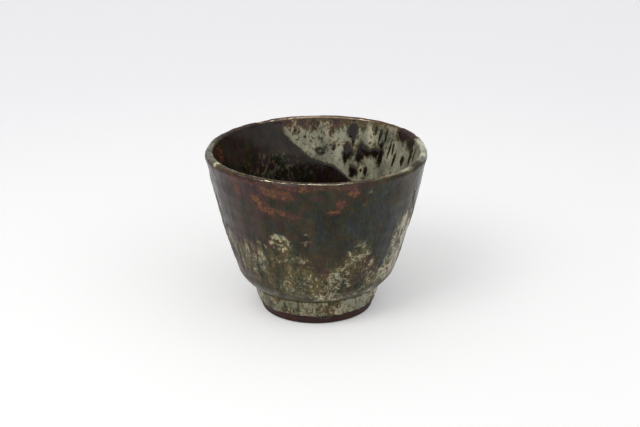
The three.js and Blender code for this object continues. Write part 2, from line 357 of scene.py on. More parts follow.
def turned_piece(name, seen, hidden, fields=None, open_bands=()):
    """A closed mesh object from rows of points that run round the axis.

    open_bands lists the rows after which no band of faces follows, where both rows are on the axis."""
    rows = np.concatenate([seen, hidden])
    count, columns = rows.shape[:2]
    index = np.arange(count * columns).reshape(count, columns)
    bands = [i for i in range(count) if i not in open_bands]
    upper = np.roll(index, -1, axis=0)
    corners = np.stack([
        index, np.roll(index, -1, axis=1), np.roll(upper, -1, axis=1), upper], axis=-1)[bands]
    mesh = bpy.data.meshes.new(name)
    mesh.vertices.add(count * columns)
    mesh.vertices.foreach_set("co", (rows * MM).astype(np.float32).ravel())
    mesh.loops.add(corners.size)
    mesh.loops.foreach_set("vertex_index", corners.astype(np.int32).ravel())
    mesh.polygons.add(corners.size // 4)
    mesh.polygons.foreach_set("loop_start", np.arange(0, corners.size, 4, dtype=np.int32))
    mesh.update(calc_edges=True)

    edge_v = np.concatenate([
        np.linspace(0, SEEN_SHARE_OF_MAP, len(seen)),
        np.linspace(SEEN_SHARE_OF_MAP, 1, len(hidden) + 2)[1:]])
    low = np.repeat(edge_v[bands][:, None], columns, axis=1)
    high = np.repeat(edge_v[np.array(bands) + 1][:, None], columns, axis=1)
    left = np.repeat(np.arange(columns)[None, :] / columns, len(bands), axis=0)
    right = left + 1 / columns
    flat = np.stack([
        np.stack([left, low], -1), np.stack([right, low], -1),
        np.stack([right, high], -1), np.stack([left, high], -1)], axis=2)
    unrolled = mesh.uv_layers.new(name="OFBake")
    unrolled.data.foreach_set("uv", flat.astype(np.float32).ravel())

    for field, values in (fields or {}).items():
        painted = mesh.attributes.new(field, "FLOAT", "POINT")
        spread = np.zeros((count, columns), np.float32)
        spread[:len(seen)] = values
        spread[len(seen):] = spread[len(seen) - 1]
        painted.data.foreach_set("value", spread.ravel())

    edit = bmesh.new()
    edit.from_mesh(mesh)
    bmesh.ops.remove_doubles(edit, verts=edit.verts, dist=1e-8)
    for face in edit.faces:
        face.smooth = True
    edit.to_mesh(mesh)
    edit.free()
    mesh.set_sharp_from_angle(angle=math.radians(SHARP_ANGLE))
    piece = bpy.data.objects.new(name, mesh)
    bpy.context.scene.collection.objects.link(piece)
    print(name, len(mesh.polygons), "faces")
    return piece


# %% [markdown]
# Melted glaze is full of blotches, streaks and flecks. They are drawn with lattice noise: random
# numbers at the corners of a grid of cells, blended smoothly between. Each size below is the width
# of a blotch in millimetres, and a taller cell makes a streak that hangs down the wall. Marks that
# the eye picks out on the real bowl are listed one by one as ovals with ragged edges.

# %% Noise
def lattice(cell, seed):
    """A repeatable random number from 0 to 1 for each cell."""
    x, y, z = (cell[..., i].astype(np.int64) for i in range(3))
    mixed = (x * 73856093) ^ (y * 19349663) ^ (z * 83492791) ^ (seed * 2654435761)
    for _ in range(2):
        mixed = (((mixed & 0xFFFFFFFF) ^ ((mixed & 0xFFFFFFFF) >> 16)) * 0x45D9F3B) & 0xFFFFFFFF
    return ((mixed ^ (mixed >> 16)) & 0xFFFF) / 65535


def noise(points, size, seed):
    """Smooth random values from 0 to 1. size is a blotch's width, or its (x, y, z) sizes."""
    scaled = points / np.asarray(size, float)
    cell = np.floor(scaled)
    part = scaled - cell
    part = part * part * part * (part * (part * 6 - 15) + 10)
    total = np.zeros(points.shape[:-1])
    for corner in itertools.product((0, 1), repeat=3):
        weight = np.prod(np.where(corner, part, 1 - part), axis=-1)
        total += weight * lattice(cell + corner, seed)
    return total


def blotches(points, size, seed, octaves=3):
    """Noise with finer noise on it, from -1 to 1 about a mean of 0."""
    total = np.zeros(points.shape[:-1])
    weights = 0.0
    for octave in range(octaves):
        weight = 0.55 ** octave
        total += weight * (2 * noise(points, np.asarray(size, float) / 2 ** octave, seed + octave) - 1)
        weights += weight
    return total / weights * 1.6


def streak(width, length):
    """Cell sizes of noise that is drawn out down the wall."""
    return (width, width, length)


# %% Marks placed one by one
def smooth(low, high, value):
    """0 below low, 1 above high, and an S-shaped rise between."""
    share = np.clip((value - low) / (high - low), 0, 1)
    return share * share * (3 - 2 * share)


def round_the_bowl(azimuth, pairs):
    """Values all round the bowl, drawn through a few (azimuth, value) pairs."""
    places, values = zip(*pairs)
    return np.interp(azimuth, places, values, period=360)


def across_from(grid, azimuth):
    """Distance round the wall from an azimuth."""
    return np.radians((grid.azimuth - azimuth + 180) % 360 - 180) * grid.radius


def marks(grid, ovals, ragged=0.0):
    """How deep each point lies in the nearest oval: 1 in its middle, 0 at its edge, then negative.

    An oval is azimuth in degrees, height, half width, half height and, if it has one, lean in degrees."""
    depth = np.full(grid.points.shape[:-1], -9.0)
    for azimuth, height, half_width, half_height, *lean in ovals:
        across = across_from(grid, azimuth)
        up = grid.height - height
        tilt = math.radians(sum(lean))
        cos, sin = math.cos(tilt), math.sin(tilt)
        along = (across * cos + up * sin) / half_width
        over = (up * cos - across * sin) / half_height
        depth = np.maximum(depth, 1 - np.hypot(along, over))
    return depth + ragged


def soft_tones(grid, clouds):
    """Sum of soft clouds, each (azimuth, height, half width, half height, strength)."""
    total = np.zeros(grid.points.shape[:-1])
    for azimuth, height, half_width, half_height, strength in clouds:
        away = (across_from(grid, azimuth) / half_width) ** 2 + ((grid.height - height) / half_height) ** 2
        total += strength * np.exp(-away)
    return total


# %% [markdown]
# Inside, the bowl was tilted when the iron glaze went in, so the dark coat ends at the level that the
# liquid stood at, which is now a slanting line. Drips fell on the pale part above it. Near the lip
# the pale glaze ran thin over the clay and broke to red-brown. Four numbers are painted on every
# glaze: iron is how much dark glaze is there, rust is iron that came to the surface and turned
# orange, hue turns from warm at 0 to cool at 1, and veins says where cream curls run through.

# %% Where the iron lies inside
POUR_TILT = 37.5
POUR_AZIMUTH = 98.0
POUR_LEVEL = 69.6
# Each row is azimuth, height, half width, half height and strength.
POUR_KINKS = [
    (194, 71, 11.0, 9.0, -3.0), (182, 62, 8.0, 6.0, -3.2), (168, 57.5, 4.0, 3.0, 0.6),
    (200, 82, 6.0, 3.6, 3.2),
]
THIN_DRIPS = [(113, 82, 9.0, 4.0, 1.0)]
# Each row is azimuth, height, half width, half height and, where there is one, lean.
DRIPS = [
    (157, 77.0, 2.4, 3.6), (156, 71.5, 0.7, 3.4), (134.5, 66.2, 1.3, 3.6), (140, 67.5, 3.2, 2.0, -8),
    (145.5, 67.3, 3.0, 2.0, 6), (150.5, 65.8, 2.2, 4.4), (159, 66.4, 2.4, 3.5), (160.5, 62.5, 0.9, 2.4),
    (168.5, 67.5, 0.7, 1.5, 10), (135, 72.4, 1.1, 1.4), (137.5, 76.5, 0.6, 3.6, 4), (133, 77, 0.4, 3.4),
    (122, 67, 0.7, 3.2, 10), (113, 69.2, 1.4, 2.2), (125, 72.5, 0.5, 2.4), (144.5, 57.2, 1.0, 1.9),
    (153.8, 56.6, 2.2, 2.6), (148.2, 57.6, 0.6, 0.7), (104, 74.6, 1.2, 4.2), (117, 81.4, 5.0, 3.4, -10),
    (108.5, 79.6, 4.4, 3.0, -14), (141, 79, 0.5, 2.0), (98.5, 76, 0.7, 3.2), (128, 71, 0.5, 4.2, 4),
    (193, 76.5, 0.7, 0.6), (187, 73, 0.4, 0.4), (84, 66, 1.6, 2.6), (71, 58, 1.2, 2.2),
    (62, 69, 0.8, 2.4), (48, 71, 1.4, 1.8), (96, 55, 1.7, 2.0), (35, 76, 0.9, 1.6),
]
RING_DRIPS = [(177.2, 65.8, 2.3, 1.8)]
RING_MIDDLES = [(177.4, 65.7, 1.1, 0.8)]
INNER_RUST = [(257, 77.0, 4.6, 5.2), (260, 73, 3.0, 4.2), (266, 79, 4.0, 3.0)]
# Each pair is azimuth and value.
LIP_BROWN = [
    (-180, 0.85), (-160, 1.0), (-150, 0.3), (-110, 0.3), (-60, 0.4), (0, 0.4), (60, 0.35), (85, 0.1),
    (125, 0.15), (140, 0.45), (160, 0.85), (175, 0.85),
]


def pour_depth(grid):
    """Depth in mm below the slanting level that the dark pour stood at."""
    tilt, side = math.radians(POUR_TILT), math.radians(POUR_AZIMUTH)
    lean = np.array([
        math.sin(tilt) * math.sin(side), -math.sin(tilt) * math.cos(side), math.cos(tilt)])
    waver = 0.35 * blotches(grid.points, 6.0, 111, 2)
    kink = soft_tones(grid, POUR_KINKS)
    return POUR_LEVEL * lean[2] - grid.points @ lean + waver + kink


def inside_fields(grid):
    """What the pour, the drips and the pale glaze are like at the points of a grid inside."""
    points, height = grid.points, grid.height + 0 * grid.azimuth
    level = pour_depth(grid)
    ragged = 0.3 * blotches(points, 1.8, 121, 2)
    drip = marks(grid, DRIPS, ragged)
    ring = np.minimum(marks(grid, RING_DRIPS, ragged), -marks(grid, RING_MIDDLES, ragged))
    drip = np.maximum(drip, ring)
    dark_share = smooth(-0.03, 0.12, np.maximum(level, drip))

    upright = blotches(points, streak(2.2, 9.0), 131)
    brown = round_the_bowl(grid.azimuth, LIP_BROWN) + 0 * height
    near_lip = smooth(74.5, 82.0, height + 2.4 * upright) * brown
    near_lip = near_lip * (0.65 + 0.35 * smooth(-0.3, 0.4, blotches(points, 1.2, 156, 2)))
    at_back = soft_tones(grid, [(172, 76, 24, 8, 1.0)])
    specks = smooth(0.4, 0.75, blotches(points, 1.5, 141, 2)) * (0.3 + 0.7 * at_back)
    clouds = blotches(points, 7.0, 146)
    pale = 0.13 + 0.1 * upright + 0.12 * clouds + 0.55 * specks + 0.6 * near_lip
    pale = pale + 0.45 * np.exp(-(np.clip(-np.maximum(level, drip), 0, 9) / 0.35) ** 2)
    pale_hue = 0.72 - 0.7 * near_lip - 0.25 * specks
    pale_rust = near_lip * smooth(-0.35, 0.5, blotches(points, 2.6, 151)) * 0.85

    throwing = np.sin(2 * np.pi * (grid.reach / 6.5 + grid.azimuth / 360))
    # Pale clouds on the dark inside: the wide one at 59 mm holds real fine pale specks, and the thin band at
    # 66 mm is a painted highlight, a streak of light on the dark wall.
    specks_and_painted_sheen = soft_tones(grid, [(212, 59, 27, 8, 1.0), (200, 66, 30, 1.8, 0.4), (215, 75, 22, 4, 0.3)])
    pale_veil_and_painted_sheen = smooth(0.05, 0.65, blotches(points, streak(0.9, 1.6), 161, 2)) * specks_and_painted_sheen
    pool = smooth(68.0, 56.0, height)
    dark = 1.22 + 0.12 * pool - 0.02 * throwing - 0.85 * pale_veil_and_painted_sheen + 0.08 * clouds
    dark_rust = 0.52 * smooth(-0.8, 0.5, marks(grid, INNER_RUST, 0.3 * blotches(points, 2.2, 171, 2)))
    fallen = smooth(0.0, 0.3, drip) * smooth(0.2, -0.4, level)
    dark = dark + 0.22 * fallen - 0.6 * soft_tones(grid, THIN_DRIPS)
    dark_rust = np.maximum(dark_rust, 0.16 * fallen)
    dark_hue = 0.24 + 0.2 * clouds + 0.45 * pale_veil_and_painted_sheen - 0.4 * fallen
    return {
        "level": level, "drip": drip,
        "relief": 0.012 * throwing * smooth(82, 78, height) * smooth(2, 16, grid.radius),
        "iron": pale + (dark - pale) * dark_share,
        "rust": pale_rust + (dark_rust - pale_rust) * dark_share,
        "hue": pale_hue + (dark_hue - pale_hue) * dark_share,
        "veins": 0.15 * at_back * (1 - dark_share)}


# %% [markdown]
# Outside, the iron glaze covers the upper wall and ends in runs. Where it thins out, the two glazes
# marble into cream, olive and brown. The height of the dark edge on the side that faces the viewer
# is listed point by point; round the back it follows the runs of the imported solid.

# %% Where the iron runs to, outside
IRON_EDGE_HEIGHT = 50.0
RUN_LENGTH = 22.0
RUN_WIDTH = 9.0
RUN_COUNT = 11
RUN_SCATTER = 0.3
RUN_UNEVENNESS = 0.35
RUN_STEP = 2.4
RUN_RADIUS = (HIP[0] + LIP_CENTRE[0]) / 2
FRONT_REACH = 78.0
# Each pair is azimuth and height.
FRONT_EDGE = [
    (-90, 48), (-62, 49), (-52, 48), (-44, 47.5), (-36, 46.5), (-32, 42), (-28, 50), (-21, 54.5),
    (-16, 52), (-12, 44), (-7, 45), (-2, 43), (3, 41.5), (7, 40), (11, 40), (15, 42), (20, 45),
    (25, 49), (30, 49.5), (36, 46), (41, 40), (45, 32), (48, 36), (52, 50), (57, 60), (64, 65),
    (72, 62), (80, 55), (90, 47),
]


def run_edge(azimuth):
    """Height of the lower edge of the outer iron coat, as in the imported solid."""
    lowest = np.zeros_like(azimuth)
    for i in range(RUN_COUNT):
        centre = 360 / RUN_COUNT * (i + RUN_SCATTER * math.sin(RUN_STEP * i))
        away = np.radians(np.abs((azimuth - centre + 180) % 360 - 180)) * RUN_RADIUS
        length = RUN_LENGTH * (1 - RUN_UNEVENNESS * (1 - math.cos(RUN_STEP * i)))
        lowest = np.maximum(lowest, length * np.exp(-(away / (RUN_WIDTH / 2)) ** 2))
    return IRON_EDGE_HEIGHT - lowest


# %% Marks on the outside
# Each row is azimuth, height, half width, half height and, where there is one, lean.
PALE_WINDOWS = [
    (-48, 44.5, 2.4, 4.0), (-43, 39, 1.5, 6.5), (-37, 43, 2.4, 4.6), (-35.5, 36, 1.3, 5.0),
    (-12, 41.0, 6.0, 2.2, -8), (21, 38.5, 4.0, 2.6, 35), (33, 43, 2.4, 1.2, -30), (58, 51, 2.2, 6.5, 8),
    (54, 43, 1.6, 6.0, 8), (66, 33, 6.0, 5.0), (7, 19.5, 4.0, 2.6), (14, 34, 5.0, 1.6, 40),
    (63, 25, 6.0, 3.0), (65, 62, 1.4, 6.0, 6), (-22, 50.5, 4.6, 3.0), (-20, 46.6, 4.5, 1.2),
    (-1, 16.6, 1.6, 1.1), (-73, 57, 1.8, 9.0, 3), (-67, 47, 1.4, 6.0), (28, 77, 0.9, 1.2),
    (39, 74.6, 1.0, 1.2), (25, 70.6, 0.8, 0.8),
]
CREAM_ARCS = [
    (-27.5, 49.8, 1.6, 1.5, 40), (-24, 53.0, 2.6, 1.1, 15), (-18.5, 53.0, 2.2, 1.0, -20),
    (-16.3, 51, 0.9, 1.4), (-22.5, 50.6, 2.6, 0.6, -6), (-21, 48.9, 2.8, 0.6, 4), (-26, 47.0, 1.0, 1.1),
    (-18.5, 46.6, 1.3, 0.8), (-6, 55.4, 1.5, 0.8), (-5.5, 51.3, 2.2, 0.9, 16), (-7, 49.6, 0.8, 0.8),
    (26, 47.8, 2.6, 0.6, 14), (20, 44.5, 0.7, 2.0, 20), (-32, 46.2, 1.0, 1.2), (52, 25.5, 5.0, 0.8, 10),
    (60, 30.5, 3.0, 0.8, 20), (48, 29.5, 2.6, 0.7, -20), (55, 34, 3.2, 0.7, 30),
    (38, 36.5, 2.0, 0.6, 30),
]
DARK_PATCHES = [
    (-20.5, 50.2, 3.2, 1.4), (-24, 41.6, 1.3, 2.6, 10), (29, 28, 2.8, 5.0), (22, 33, 0.9, 5.0),
    (46.5, 42, 2.2, 12.0), (4, 40, 3.0, 5.0), (-31, 40, 1.0, 7.0), (-3, 38.5, 3.2, 2.2),
    (-45.5, 43, 0.6, 5.0), (-40, 42, 0.7, 6.0), (56.5, 27, 2.6, 1.0), (57.5, 49, 0.9, 2.2),
    (63, 41, 2.2, 1.0, -30), (61, 57, 1.4, 1.0), (67, 50, 0.8, 3.4), (54, 36, 0.8, 2.6),
    (-24, 18.4, 2.8, 1.6), (-10, 17.2, 2.4, 1.3), (22, 18.4, 2.6, 1.5), (35, 19, 1.8, 2.0),
    (65, 58, 0.9, 2.6, 8), (70, 53, 1.0, 2.2), (63, 46, 1.0, 2.2, 8), (71, 63, 0.8, 2.8),
]
RUST_FLECKS = [
    (-27, 78.2, 3.4, 1.5, -28), (-22.3, 76.6, 2.8, 1.8, -24), (-16.5, 76.3, 4.0, 1.9, -6),
    (-32, 71.8, 3.2, 2.1, -16), (-30.5, 69.2, 1.6, 2.0, 30), (-25.5, 67.3, 4.4, 1.8, -16),
    (-18, 66.6, 4.6, 1.2, -14), (-46, 76.5, 1.6, 3.6, 6), (-44, 79.5, 2.2, 0.8), (12.5, 72.2, 2.2, 1.9),
    (9, 68.2, 2.6, 0.9, 8), (18.5, 77.4, 2.7, 1.8), (-8, 79.6, 3.0, 1.1),
]
# Each row is azimuth, height, half width, half height and strength.
IRON_CLOUDS = [
    (-43, 40, 9, 8, -0.22), (-50, 23, 12, 6, 0.10), (4, 39, 5, 6, 0.10), (30, 28, 4, 7, 0.14),
    (12, 27, 8, 7, -0.10), (60, 36, 8, 11, -0.22), (58, 52, 4, 7, -0.3), (8, 18.5, 8, 3.5, -0.12),
    (-40, 16, 16, 4, 0.12), (-73, 55, 5, 10, -0.3), (28, 42, 7, 6, -0.02), (-22, 40, 5, 5, -0.08),
    (70, 45, 7, 20, -0.2), (-10, 32, 10, 10, 0.08), (26, 31, 8, 8, 0.08), (-3, 28, 2.6, 9, -0.09),
    (-14, 31, 2.2, 8, -0.06), (-19.5, 27, 1.8, 7, -0.06), (-8.5, 24, 1.6, 6, -0.05),
    (72, 55, 9, 16, -0.12),
]
EVEN_CLOUDS = [(-11, 27, 10, 9, 0.8)]
# A negative strength draws brown lines on the pale glaze.
VEIN_CLOUDS = [
    (16, 27, 10, 8, 0.9), (32, 33, 8, 8, 0.8), (-24, 42, 6, 4, 0.8), (-11, 27, 10, 9, -0.55),
    (53, 27, 7, 5, 1.0), (-42, 34, 7, 8, 0.7), (26, 44, 7, 5, 0.5), (7, 18, 9, 4, 0.9),
    (58, 46, 6, 12, 0.9), (-22, 17.5, 13, 3.5, 0.6), (30, 17.5, 10, 3.5, 0.6),
]
# Each pair is azimuth and value.
WALL_HUE = [
    (-170, 0.4), (-130, 0.75), (-90, 0.45), (-62, 0.06), (-42, 0.1), (-27, 0.42), (-14, 0.45),
    (0, 0.55), (9, 0.58), (22, 0.74), (38, 0.82), (50, 0.7), (70, 0.55), (110, 0.3), (150, 0.7),
]

# %% [markdown]
# The glaze is thinnest on the lip. It drew back from the edge in the fire and was worn there later,
# so the crest turns from pale to red-brown to dark, patch by patch. Each table runs round the bowl,
# as pairs of azimuth and value. Paint could also be put on by hand in Texture Paint, but a table is
# easy to change and gives the same lip each time.

# %% Colours round the lip
# Values below nought lift the glaze colour above its pale. On worn chips that is real frost; on the
# right-hand lip from 76 to 99 degrees it is a pale lip brightened further as a painted highlight.
CREST_IRON = [
    (-150, 0.8), (-148, 0.3), (-146, -0.2), (-144, 0.8), (-115, 0.72), (-103, 0.4), (-80, 0.24),
    (-67, 0.3), (-65, -0.5), (-63.5, -0.2), (-62, 0.5), (-42, 0.5), (-30, 0.52), (-12, 0.6), (6, 0.52),
    (22, 0.55), (33, 0.4), (42, 0.12), (57, 0.1), (61, 0.75), (66, 0.7), (70, 0.0), (76, -0.4),
    (99, -0.4), (103, 0.1), (107, 0.85), (121, 0.9), (126, 0.35), (134, 0.4), (165, 0.5), (-175, 0.55),
    (-160, 0.7),
]
CREST_HUE = [
    (-175, 0.1), (-150, 0.0), (-115, 0.0), (-100, 0.5), (-80, 0.7), (-60, 0.4), (-40, 0.25), (0, 0.15),
    (30, 0.2), (45, 0.5), (75, 0.9), (100, 0.9), (106, 0.0), (122, 0.0), (130, 0.3), (165, 0.1),
]
CREST_RUST = [
    (-165, 0.5), (-150, 0.2), (-110, 0.1), (-40, 0.12), (0, 0.2), (30, 0.16), (50, 0.1), (65, 0.35),
    (75, 0.0), (100, 0.0), (108, 0.35), (132, 0.55), (160, 0.62), (180, 0.6),
]
CREST_WIDTH = [
    (-150, 2.0), (-120, 2.4), (-95, 3.4), (-65, 3.2), (-45, 2.0), (0, 1.6), (45, 1.8), (62, 2.8),
    (85, 3.6), (110, 3.4), (130, 2.0), (170, 1.6),
]
UNDER_LIP = [
    (-170, 0.8), (-120, 0.6), (-80, 0.15), (-60, 0.4), (-40, 0.9), (0, 1.0), (40, 1.0), (58, 0.7),
    (75, 0.1), (105, 0.1), (120, 0.8), (160, 0.9),
]


def lip_colours(grid, fields):
    """Lays the colours of the lip over the outer fields: a red-brown line, then the worn crest."""
    gap = grid.reach - CREST + 0 * grid.azimuth
    uneven = blotches(grid.points, (3.0, 3.0, 1.4), 181)
    under = np.exp(-((gap + 3.2 + 0.5 * uneven) / 1.6) ** 2) * round_the_bowl(grid.azimuth, UNDER_LIP)
    duller = 0.2 * smooth(6, 30, grid.azimuth) * smooth(115, 75, grid.azimuth)
    fields["rust"] = np.maximum(fields["rust"], under * (0.46 - duller + 0.2 * uneven))
    fields["hue"] = fields["hue"] * (1 - 0.7 * under)
    on_crest = np.exp(-((gap - 0.2 + 0.3 * uneven) / round_the_bowl(grid.azimuth, CREST_WIDTH)) ** 4)
    worn = {
        name: round_the_bowl(grid.azimuth, table) + share * uneven
        for name, table, share in (
            ("iron", CREST_IRON, 0.1), ("rust", CREST_RUST, 0.12), ("hue", CREST_HUE, 0.2))}
    worn["veins"] = 0 * gap
    within = inside_fields(grid)
    past = smooth(0.8, 2.4, gap + 0.4 * uneven)
    for name, value in worn.items():
        fields[name] = fields[name] + (value - fields[name]) * on_crest
        fields[name] = fields[name] + (within[name] - fields[name]) * past
    return fields


# %% Outer glaze fields
def outside_fields(grid):
    """Iron, rust, hue, veins and relief of the outer glaze at the points of a grid."""
    points, height = grid.points, grid.height + 0 * grid.azimuth
    wander = np.stack([blotches(points, 5.0, seed, 2) for seed in (11, 12, 13)], axis=-1)
    melted = points + 1.3 * wander
    hanging = blotches(melted, streak(2.6, 11.0), 21)
    marbled = blotches(melted, (3.2, 3.2, 4.2), 31)
    broad = blotches(points, (16.0, 16.0, 20.0), 36, 2)
    dots = smooth(0.4, 0.75, blotches(melted, 1.9, 51, 2))
    at_back = smooth(FRONT_REACH - 10, FRONT_REACH + 6, np.abs(grid.azimuth) + 0 * height)

    front = round_the_bowl(grid.azimuth, FRONT_EDGE)
    edge = front + (run_edge(grid.azimuth) - front) * at_back
    cover = smooth(-8, 4.5, height - edge + 3.4 * hanging + 1.5 * marbled)
    mixed = 0.6 + 0.24 * hanging + 0.13 * marbled + 0.16 * dots + soft_tones(grid, IRON_CLOUDS)
    mixed = mixed + 0.16 * broad * at_back
    evened = soft_tones(grid, EVEN_CLOUDS)
    mixed = mixed + (0.43 + 0.12 * marbled - mixed) * evened
    dark = 1.0 - 0.08 * smooth(0.1, 0.9, hanging) - 0.05 * marbled
    dark = dark + 0.12 * blotches(points, (8.0, 8.0, 6.0), 41)
    iron = mixed + (dark - mixed) * cover

    ragged = 0.6 * blotches(melted, 2.2, 61, 2)
    window = smooth(-0.25, 0.45, marks(grid, PALE_WINDOWS, ragged))
    patch = smooth(-0.25, 0.45, marks(grid, DARK_PATCHES, ragged))
    arcs = smooth(-0.2, 0.5, marks(grid, CREAM_ARCS, 0.9 * blotches(melted, 1.3, 62, 2)))
    iron = iron - window * (iron - 0.26 - 0.25 * dots) * 0.7
    iron = iron - arcs * (iron - 0.12) * 0.75
    iron = iron + patch * (1 - arcs) * (0.84 - iron) * 0.8

    fleck_depth = marks(grid, RUST_FLECKS, 0.8 * blotches(melted, 1.8, 81, 3))
    shoulder = smooth(61, 67, height) * smooth(83, 79, height)
    scattered = smooth(0.35, 0.8, blotches(points, (7.0, 7.0, 3.4), 71)) * shoulder * at_back
    halo = smooth(-2.6, 0.4, fleck_depth) * smooth(58, 64, height)
    rust = np.maximum(0.25 * halo + 0.4 * smooth(-1.1, 0.8, fleck_depth), 0.6 * scattered)

    tint = blotches(points, (9.0, 9.0, 12.0), 86)
    hue = round_the_bowl(grid.azimuth, WALL_HUE) + 0.3 * tint - 0.18 * halo
    hue = hue + (0.46 + 0.25 * tint - hue) * (1 - cover) * 0.8 + 0.35 * evened
    veins = (soft_tones(grid, VEIN_CLOUDS) + smooth(0.0, 0.7, broad) * at_back) * (1 - cover)
    relief = wall_relief(grid) + 0.05 * hanging + 0.05 * marbled
    fields = lip_colours(grid, {"iron": iron, "rust": rust, "hue": hue, "veins": veins})
    return {**fields, "relief": relief}


# %% [markdown]
# The thrower's fingers leave low ridges round the wall, and the lip is drawn out a little over a
# shallow hollow. These are real shape, so they move the points of the mesh. Only finer grain,
# under about half a millimetre, is left to the material's bump.

# %% Thrown relief
RIDGE_PITCH = 7.4
RIDGE_DEPTH = 0.045
LIP_FLARE = 0.14
LIP_HOLLOW = 0.3
CREST_DIP = 0.26
WALL_SET_BACK = 0.12


def wall_relief(grid):
    """How far the thrown outer wall stands off its smooth section."""
    height = grid.height + 0 * grid.azimuth
    on_wall = smooth(HIP[1], HIP[1] + 8, height) * smooth(83, 79, height)
    spiral = grid.azimuth / 360 + 0.25 * blotches(grid.points, 26.0, 91, 2)
    ridges = RIDGE_DEPTH * np.sin(2 * np.pi * (height / RIDGE_PITCH + spiral))
    uneven = 0.18 * blotches(grid.points, 22.0, 92, 2)
    hollow = -LIP_HOLLOW * np.exp(-((height - 75.5) / 3.0) ** 2)
    flare = LIP_FLARE * np.exp(-((height - 81.0) / 1.6) ** 2) * np.abs(grid.out[0])
    dips = CREST_DIP * smooth(-0.1, 0.9, blotches(grid.points, streak(9.0, 40.0), 93, 2))
    dips = dips * smooth(80, 83, height)
    return on_wall * (ridges + uneven + hollow) + flare - dips - WALL_SET_BACK


# %% [markdown]
# Fired glaze is glass. Its body colour comes from what is dissolved in it, and its face is smooth
# with a faint orange-peel texture. Both glazes share one recipe of nodes here. The iron painted on
# the points mixes a pale, a middle and a dark colour, each of which turns from warm to cool with
# the hue. Finer marks than the mesh can carry are added by nodes: grain, cream veins, hair-thin
# streaks and brown specks. Glass has an IOR near 1.5.

# %% Glaze colours and sizes
PALE_HUES = [(0.0, "#9a8966"), (0.45, "#8f8870"), (1.0, "#7c8070")]
MIDDLE_HUES = [(0.0, "#3e2d20"), (0.5, "#453d20"), (1.0, "#42432f")]
DARK_HUES = [(0.0, "#322223"), (0.28, "#2e2215"), (0.52, "#282514"), (0.74, "#202319"), (1.0, "#222423")]
RUST_BREAK = [(0.0, "#361a15"), (0.4, "#48251a"), (0.75, "#573923"), (1.0, "#6c4929")]
SPECK_BROWN = "#2f1d14"
GRAIN_SIZE = 0.9
WARP_SIZE = 4.0
WARP_REACH = 1.1
CURL_SIZE = 3.4
CLOUD_SIZE = 6.0
TINT_SIZE = 4.5
SPECK_SIZE = 1.3
HAIR_SIZE = 0.7
PEEL_SIZE = 1.1
FLECK_SIZE = 1.3
PEEL_DEPTH = 0.05
GLOSSY_LIP = 82.0
GLASS_IOR = 1.5
PAINTED = ("iron", "rust", "hue", "veins")


